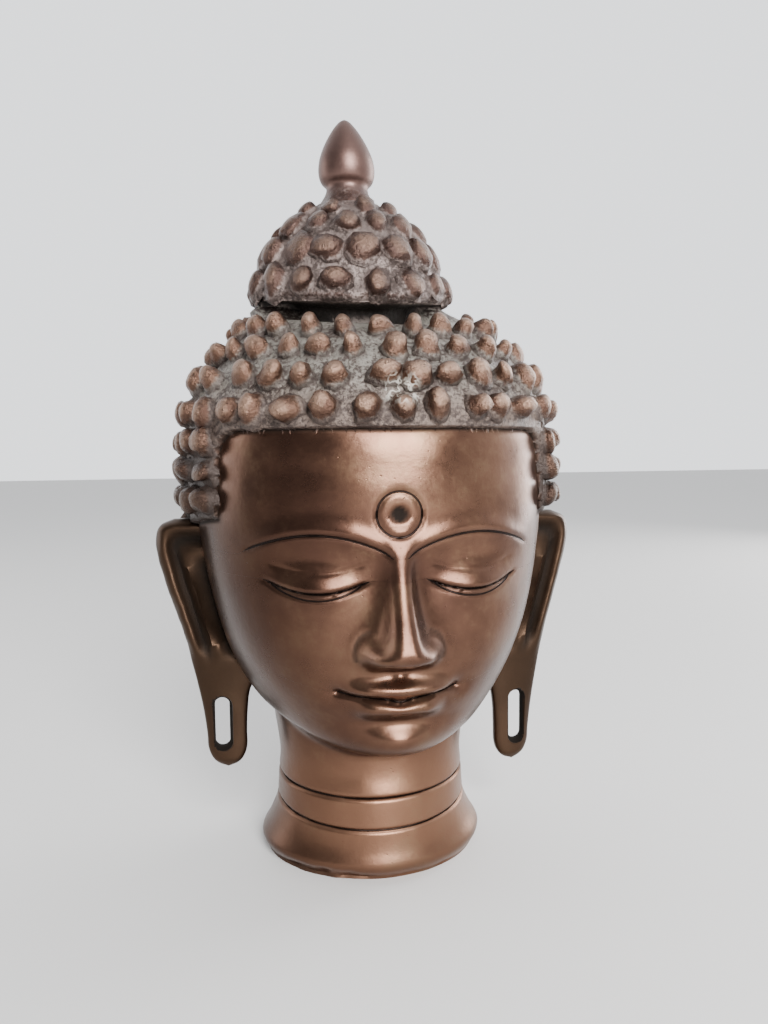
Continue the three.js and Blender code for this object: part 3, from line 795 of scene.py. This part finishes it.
def makeEar(side):
    levels = earLevels()
    turns = np.linspace(0, 2 * math.pi, 65)[:-1]
    turn, z = np.meshgrid(turns, levels)
    middle, half = (earOuter(z) + earInner(z)) / 2, (earOuter(z) - earInner(z)) / 2
    c, s = np.cos(turn), np.sin(turn)
    x = middle + half * np.sign(c) * np.abs(c) ** 0.62
    end = np.sqrt(np.clip(np.minimum(z - 25.9, 111.2 - z) / 3, 0.06, 1))
    upper = smoothstep(58, 72, z)
    thick = (ear["thickness"] / 2 - 0.2 + 1.3 * upper) * end
    # Distances from the outer edge, from the top, and from whichever is nearer
    inward = earOuter(z) - x
    down = (111.6 - z) * 0.85
    edge = -1.6 * np.log(np.exp(-inward / 1.6) + np.exp(-down / 1.6))
    hollow = smoothstep(62, 69, z)
    roll = 1.5 * bell(edge, 2.4, 2.1) * upper
    furrow = 2.1 * bell(edge, 6.2, 1.7) * hollow
    ridge = 1.3 * bell(inward, 9.3 - 0.03 * (z - 66), 1.8) * hollow * (1 - smoothstep(86, 102, z))
    bowl = 2.9 * smoothstep(9.5, 14.5, edge) * hollow * (1 - smoothstep(22, 30, inward))
    fold = 0.8 * bell(z, 65 + 0.25 * inward, 2.4) * smoothstep(3, 6, inward)
    full = 0.7 * (1 - upper) * (1 - ((x - middle) / half) ** 2)
    carving = roll + ridge + fold + full - furrow - bowl
    y = thick * np.sign(s) * np.abs(s) ** 0.5 - np.where(s < 0, carving * np.abs(s) ** 0.3, 0)
    shade = np.clip(0.42 * furrow + 0.3 * bowl - 0.4 * ridge, 0, 1) * (s < 0)
    y = ear["y"] + y + (x - ear["hinge"]) * math.tan(ear["rake"])
    x, z = settled(x, z, side)
    points = np.stack([side * x, y, z], axis=-1)
    points = points + (0.2 * lumps(points, 8, 61) + 0.14 * lumps(points, 3, 62) * upper)[..., None]
    if side < 0:
        points, shade = points[:, ::-1], shade[:, ::-1]
    return shellOfRings(points, {"ear": 1.0, "groove": shade})


# The slit through a lobe, wider at both faces so that its edges come out rounded: depth and widening
slotRings = ((-6, 1.8), (-2.6, 0.9), (-1.6, 0.2), (0, 0), (1.6, 0.2), (2.6, 0.9), (6, 1.8))


def makeLobeSlot(side):
    half, tall = ear["slotWidth"] / 2, ear["slotHeight"] / 2 - ear["slotWidth"] / 2
    turns = np.linspace(0, 2 * math.pi, 41)[:-1]
    rings = []
    for depth, wider in slotRings:
        x = ear["slotX"] - 0.4 + (half + wider) * np.cos(turns)
        z = ear["slotTop"] - ear["slotHeight"] / 2 + np.where(np.sin(turns) >= 0, tall, -tall)
        z = z + (half + wider) * np.sin(turns)
        x, z = settled(x, z, side)
        rings.append(np.stack([side * x, ear["y"] + depth + 0 * x, z], axis=-1))
    rings = np.stack(rings)
    # Painted dark all through: grime and painted shade in the slit
    return shellOfRings(rings if side < 0 else rings[:, ::-1], {"ear": 1.0, "groove": 1.0})


# Join another object to a target or cut it out, and drop it
def combine(target, other, operation):
    cut = target.modifiers.new(operation, "BOOLEAN")
    cut.operation = operation
    cut.solver = "MANIFOLD"
    cut.object = other
    evaluated = target.evaluated_get(bpy.context.evaluated_depsgraph_get())
    mesh = bpy.data.meshes.new_from_object(evaluated)
    target.modifiers.remove(cut)
    old = target.data
    target.data = mesh
    bpy.data.meshes.remove(old)
    spent = other.data
    bpy.data.objects.remove(other)
    bpy.data.meshes.remove(spent)


def makeHead():
    hairKnobsAt, crownKnobsAt = placeKnobs(), placeCrownKnobs()
    skin = makeSkin()
    shells = [skin]
    head = objectOf("bronze_head", skin)
    print("skin made", len(head.data.polygons))
    for side in (-1, 1):
        plate, slot = makeEar(side), makeLobeSlot(side)
        shells += [plate, slot]
        plate = objectOf("ear", plate)
        combine(plate, objectOf("slot", slot), "DIFFERENCE")
        combine(head, plate, "UNION")
    hair = [
        makeHairGround(*hairKnobsAt),
        makeCrownGround(*crownKnobsAt),
        makeJewel(),
        makeHairKnobs(*hairKnobsAt),
        makeCrownKnobs(*crownKnobsAt),
    ]
    for shell in hair:
        shells.append(shell)
        combine(head, objectOf("hair", shell), "UNION")
        print("hair joined", len(head.data.polygons))
    markAgain(head, shells)
    head.data.name = "bronze_head"
    print("triangles", sum(len(face.vertices) - 2 for face in head.data.polygons))
    return head


# The sockets of the colour mixer: how much of the second colour, the first, the second, and its result
mixShare, mixFirst, mixSecond, mixResult = 0, 6, 7, 2


# Shader values with ordinary arithmetic, and one way to add any node
class Nodes:
    def __init__(self, tree):
        self.tree = tree

    # A node of a type, with its settings, then values or links for its sockets
    def add(self, kind, settings=(), sockets=(), output=0):
        node = self.tree.nodes.new("ShaderNode" + kind)
        for name, value in dict(settings).items():
            setattr(node, name, value)
        for name, value in dict(sockets).items():
            self.put(node.inputs[name], value)
        return Value(self, node.outputs[output])

    def put(self, socket, value):
        if isinstance(value, Value):
            self.tree.links.new(value.socket, socket)
        else:
            socket.default_value = value


class Value:
    def __init__(self, nodes, socket):
        self.nodes = nodes
        self.socket = socket

    def maths(self, operation, *others):
        return self.nodes.add("Math", {"operation": operation}, dict(enumerate((self, *others))))

    def __add__(self, other):
        return self.maths("ADD", other)

    def __sub__(self, other):
        return self.maths("SUBTRACT", other)

    def __mul__(self, other):
        return self.maths("MULTIPLY", other)

    def __rsub__(self, other):
        return self * -1 + other

    __radd__ = __add__
    __rmul__ = __mul__

    def clamped(self):
        return self.maths("MAXIMUM", 0.0).maths("MINIMUM", 1.0)

    # 0 at the first value and 1 at the second, in an S
    def between(self, low, high):
        sockets = {"Value": self, "From Min": low, "From Max": high}
        return self.nodes.add("MapRange", {"interpolation_type": "SMOOTHSTEP"}, sockets)

    # Where this is 0 the first colour, where it is 1 the second
    def blend(self, first, second):
        first, second = ((*colour, 1) if isinstance(colour, tuple) else colour for colour in (first, second))
        sockets = {mixShare: self, mixFirst: first, mixSecond: second}
        return self.nodes.add("Mix", {"data_type": "RGBA"}, sockets, mixResult)


# Colours of the bronze, its patina and its dust, and the dark colours that paint shade
skinColours = {
    "brown": (0.079, 0.039, 0.027),
    "copper": (0.16, 0.083, 0.053),
    "olive": (0.19, 0.122, 0.073),
    "neck": (0.25, 0.13, 0.078),
    # painted shade for the lower face and the foot
    "jawShade": (0.07, 0.036, 0.024),
    # painted shade on the left side of the face
    "leftShade": (0.035, 0.017, 0.011),
    # painted shade on the ears
    "ear": (0.034, 0.021, 0.013),
    "jewel": (0.13, 0.08, 0.07),
    "speck": (0.045, 0.024, 0.017),
    # near black for the cut lines: grime and painted shade
    "cut": (0.012, 0.008, 0.007),
    # grime and painted shade in recesses
    "grimeAndShade": (0.016, 0.013, 0.011),
}
hairColours = {
    "ground": (0.2, 0.15, 0.124),
    "dust": (0.22, 0.203, 0.176),
    "crown": (0.34, 0.268, 0.245),
    # painted shade low on the hair at the temples
    "temple": (0.028, 0.018, 0.014),
    # dark pitting, and grime and painted shade round the knobs' feet
    "pitsAndShade": (0.05, 0.035, 0.03),
    "knobDark": (0.07, 0.037, 0.026),
    "knobLight": (0.125, 0.07, 0.048),
    "knobCrown": (0.06, 0.036, 0.03),
    "knobWorn": (0.32, 0.205, 0.145),
    "crack": (0.55, 0.52, 0.46),
}
# Half widths of the cut lines in millimetres, and the middle of the crack over the forehead
lineWidths = {
    "browLine": 0.42,
    "upperLine": 0.4,
    "lowerLine": 0.32,
    "mouthLine": 0.34,
    "ringLine": 0.36,
    "neckLine": 0.34,
}
crackPlace = (2, -54, 148.5)


# What both looks are painted with: the marks, the place in millimetres and noises of several sizes
class Paint:
    def __init__(self, nodes):
        self.nodes = nodes
        self.place = nodes.add("TexCoord", output="Object")
        self.aside = nodes.add("SeparateXYZ", sockets={0: self.place}, output="X") * 1000
        self.height = nodes.add("SeparateXYZ", sockets={0: self.place}, output="Z") * 1000
        self.broad = self.noise(38, 3)
        self.cloudy = self.noise(11, 5, 0.6)
        self.blotches = self.noise(3.2, 5, 0.65)
        self.speckle = self.noise(1.6, 3, 0.6)
        self.pebbles = self.noise(1.1, 4, 0.7)
        self.grain = self.noise(0.5, 3, 0.65)
        cellSockets = {"Vector": self.place, "Scale": 1000 / 2.4}
        cells = nodes.add("TexVoronoi", sockets=cellSockets, output="Distance")
        self.specks = (1 - cells).between(0.86, 0.97) * self.cloudy.between(0.5, 0.62)

    # Noise with lumps of about a size in millimetres
    def noise(self, size, detail=4, roughness=0.55):
        sockets = {"Vector": self.place, "Scale": 1000 / size, "Detail": detail, "Roughness": roughness}
        return self.nodes.add("TexNoise", sockets=sockets)

    def mark(self, name):
        return self.nodes.add("Attribute", {"attribute_name": name}, output="Fac")


# Skin: brown patina with coppery places, rubbed to olive gold in clouds, black in the cut lines as grime and
# painted shade, with painted shade on the left side, the ears, the lower face and the foot
def skinLook(paint, onCrown, onEar, groove):
    cloudy, speckle, specks = paint.cloudy, paint.speckle, paint.specks
    line = 0
    for name, width in lineWidths.items():
        line = paint.mark(name).maths("ABSOLUTE").between(width, width * 0.35).maths("MAXIMUM", line)
    neck = 1 - paint.height.between(28, 52)
    # Painted shade: the face darker towards the jaw
    jawShade = paint.height.between(112, 60) * (1 - neck)
    # Painted shade over the left side of the face, above the jaw and off the ears
    leftShade = paint.aside.between(-8, -44) * paint.height.between(150, 108) * (1 - onEar)
    # Painted shade: the foot darker towards the bottom
    foot = paint.height.between(17, 5)
    rubbed = (cloudy * 0.8 + speckle * 0.35 + paint.broad * 0.5).between(0.82, 1.1)

    coppery = (paint.broad * 1.4 + cloudy * 0.6).between(0.75, 1.3)
    colour = coppery.blend(skinColours["brown"], skinColours["copper"])
    colour = (neck * 0.55).blend(colour, skinColours["neck"])
    colour = (rubbed * 0.5).blend(colour, skinColours["olive"])
    # Painted shade at the foot and towards the jaw
    colour = (foot * 0.4).blend(colour, skinColours["jawShade"])
    colour = (jawShade * 0.45).blend(colour, skinColours["jawShade"])
    # Painted shade on the left side
    colour = (leftShade * 0.8).blend(colour, skinColours["leftShade"])
    # Painted shade: the ears blended to a dark colour
    colour = (onEar * 0.88).blend(colour, skinColours["ear"])
    colour = (onCrown * 1.4).clamped().blend(colour, skinColours["jewel"])
    colour = (specks * 0.5).blend(colour, skinColours["speck"])
    # Grime and painted shade in the grooves, cuts, holes and hollows
    colour = (groove * 0.94).blend(colour, skinColours["grimeAndShade"])
    # The cut lines drawn near black: grime and painted shade in the incisions
    colour = (line * (0.75 + speckle * 0.4)).clamped().blend(colour, skinColours["cut"])

    metal = 0.95 - groove * 0.1
    rough = 0.3 + (cloudy - 0.5) * 0.16 + (speckle - 0.5) * 0.1 + groove * 0.6
    rough = rough + onEar * 0.08 + neck * 0.05 + onCrown * 0.2
    raised = cloudy * 0.16 + speckle * 0.03 - specks * 0.07 + paint.grain * 0.008 - line * 0.3
    return colour, metal, rough, raised


# Hair: dusty ground with dark pitting, painted shade low down at the temples, and brown knobs rubbed bright
# at their tips, with grime and painted shade round their feet and a pale crack over the forehead
def hairLook(paint, onCrown, knob, groove, dust):
    cloudy, speckle, pebbles = paint.cloudy, paint.speckle, paint.pebbles
    # Painted shade: the hair darker low down, towards the temples, and not on the crown
    temple = (1 - paint.height.between(118, 150)) * (1 - onCrown)
    ground = dust.blend(hairColours["ground"], hairColours["dust"])
    ground = (onCrown * 0.8).blend(ground, hairColours["crown"])
    ground = (temple * 0.9).blend(ground, hairColours["temple"])
    ground = (pebbles * 1.1 + cloudy * 0.7).between(1.0, 0.78).blend(ground, hairColours["pitsAndShade"])

    worn = (knob + (speckle - 0.5) * 0.5).between(0.74, 1.0) * (0.62 - onCrown * 0.36)
    nub = (cloudy + dust * 0.1).between(0.42, 0.62).blend(hairColours["knobDark"], hairColours["knobLight"])
    nub = (onCrown * 0.8).blend(nub, hairColours["knobCrown"])
    nub = worn.blend(nub, hairColours["knobWorn"])
    risen = (knob + (speckle - 0.5) * 0.4 + (cloudy - 0.5) * 0.25).between(0.2, 0.5)
    # Grime and painted shade round the knobs' feet, in the colour of the pitting
    footGrimeAndShade = knob.between(0.02, 0.1) * (1 - knob.between(0.16, 0.4))
    colour = risen.blend(ground, nub)
    colour = (footGrimeAndShade * 0.72).blend(colour, hairColours["pitsAndShade"])
    # Painted shade at the temples, over the knobs too
    colour = (temple * 0.75).blend(colour, hairColours["temple"])

    ends = {0: paint.place, 1: [value * toMetres for value in crackPlace]}
    fromCrack = paint.nodes.add("VectorMath", {"operation": "DISTANCE"}, ends, "Value") * 1000
    vein = (paint.noise(3.5, 2) - 0.5).maths("ABSOLUTE").between(0.05, 0.015)
    colour = (vein * fromCrack.between(6.5, 3.5) * 0.85).blend(colour, hairColours["crack"])
    # Grime and painted shade under the hair's edge and in the crown's slot
    colour = (groove * 0.97).blend(colour, skinColours["grimeAndShade"])

    metal = risen * 0.4 + 0.5
    rough = 0.48 - risen * 0.18 + (speckle - 0.5) * 0.2
    raised = paint.blotches * 0.5 + pebbles * 0.55 + paint.grain * 0.1
    return colour, metal, rough, raised


def makeBronze():
    material = bpy.data.materials.new("bronze")
    material.use_nodes = True
    shader = material.node_tree.nodes["Principled BSDF"]
    nodes = Nodes(material.node_tree)
    paint = Paint(nodes)
    hair, knob, onCrown, onEar, groove, dust = (paint.mark(name) for name in markNames)
    skinColour, skinMetal, skinRough, skinRaised = skinLook(paint, onCrown, onEar, groove)
    hairColour, hairMetal, hairRough, hairRaised = hairLook(paint, onCrown, knob, groove, dust)
    surface = skinRaised + hair * (hairRaised - skinRaised)
    nodes.put(shader.inputs["Base Color"], hair.blend(skinColour, hairColour))
    nodes.put(shader.inputs["Metallic"], (skinMetal + hair * (hairMetal - skinMetal)).clamped())
    nodes.put(shader.inputs["Roughness"], (skinRough + hair * (hairRough - skinRough)).clamped())
    bump = nodes.add("Bump", sockets={"Strength": 0.9, "Distance": 0.001, "Height": surface})
    nodes.put(shader.inputs["Normal"], bump)
    return material


def makeFloor():
    reach = 4
    corners = [(-reach, -reach, 0), (reach, -reach, 0), (reach, reach, 0), (-reach, reach, 0)]
    mesh = bpy.data.meshes.new("floor")
    mesh.from_pydata(corners, [], [(0, 1, 2, 3)])
    floor = bpy.data.objects.new("floor", mesh)
    bpy.context.scene.collection.objects.link(floor)
    paint = bpy.data.materials.new("floor")
    paint.use_nodes = True
    shader = paint.node_tree.nodes["Principled BSDF"]
    shader.inputs["Base Color"].default_value = (0.6, 0.59, 0.58, 1)
    shader.inputs["Roughness"].default_value = 0.6
    mesh.materials.append(paint)


# The studio: pale all round and dimmer in front, with a window on either side and one above the camera
studio = {
    "world": (0.95, 0.97, 1, 1),
    "dim": 0.34,
    "bright": 1.9,
    "aim": (0, 0, 0.12),
    "windows": {
        "left": [(-0.95, 0.35, 0.35), (0.4, 0.8), 3],
        "right": [(0.9, 0.45, 0.35), (0.4, 0.9), 12],
        "front": [(0.18, -1.02, 0.6), (0.5, 0.85), 38],
    },
}


def addWindow(name, position, size, power):
    data = bpy.data.lights.new(name, "AREA")
    data.shape = "RECTANGLE"
    data.size = size[0]
    data.size_y = size[1]
    data.energy = power
    lamp = bpy.data.objects.new(name, data)
    bpy.context.scene.collection.objects.link(lamp)
    back = (Vector(position) - Vector(studio["aim"])).normalized()
    right = Vector((0, 0, 1)).cross(back).normalized()
    turn = Matrix((right, back.cross(right), back)).transposed().to_4x4()
    lamp.matrix_world = Matrix.Translation(position) @ turn


def makeLights():
    world = bpy.data.worlds.new("studio")
    bpy.context.scene.world = world
    world.use_nodes = True
    background = world.node_tree.nodes["Background"]
    background.inputs["Color"].default_value = studio["world"]
    nodes = Nodes(world.node_tree)
    direction = nodes.add("TexCoord", output="Generated")
    ahead = nodes.add("SeparateXYZ", sockets={0: direction}, output="Y")
    aside = nodes.add("SeparateXYZ", sockets={0: direction}, output="X")
    fade = (ahead + aside * 0.5).between(-0.6, 0.5)
    nodes.put(background.inputs["Strength"], fade * (studio["bright"] - studio["dim"]) + studio["dim"])
    for name, window in studio["windows"].items():
        addWindow(name, *window)


# Where the photograph was taken from, in metres and degrees
view = {
    "distance": 0.26,
    "height": 0.1323,
    "around": 8.5,
    "look": 9.751,
    "down": 4.5,
    "roll": 0.6,
    "lens": 27.04,
}


def makeCamera():
    around, look, down, roll = (math.radians(view[name]) for name in ("around", "look", "down", "roll"))
    ahead = Vector((math.sin(look) * math.cos(down), math.cos(look) * math.cos(down), -math.sin(down)))
    level = Vector((math.cos(look), -math.sin(look), 0))
    up = level.cross(ahead)
    right = level * math.cos(roll) - up * math.sin(roll)
    above = level * math.sin(roll) + up * math.cos(roll)
    data = bpy.data.cameras.new("camera")
    data.lens = view["lens"]
    data.sensor_width = 36
    data.clip_start = 0.01
    camera = bpy.data.objects.new("camera", data)
    bpy.context.scene.collection.objects.link(camera)
    spot = Vector((-math.sin(around), -math.cos(around), 0)) * view["distance"]
    spot.z = view["height"]
    turn = Matrix((right, above, -ahead)).transposed().to_4x4()
    camera.matrix_world = Matrix.Translation(spot) @ turn
    bpy.context.scene.camera = camera


makeCamera()
makeLights()
makeFloor()
print("stage made")

head = makeHead()
head.data.materials.clear()
head.data.materials.append(makeBronze())
head.data.polygons.foreach_set("material_index", np.zeros(len(head.data.polygons), np.int32))
head.data.set_sharp_from_angle(angle=math.radians(60))
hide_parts(headName)
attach(head, "root")
print("head made")

bpy.context.view_layer.update()
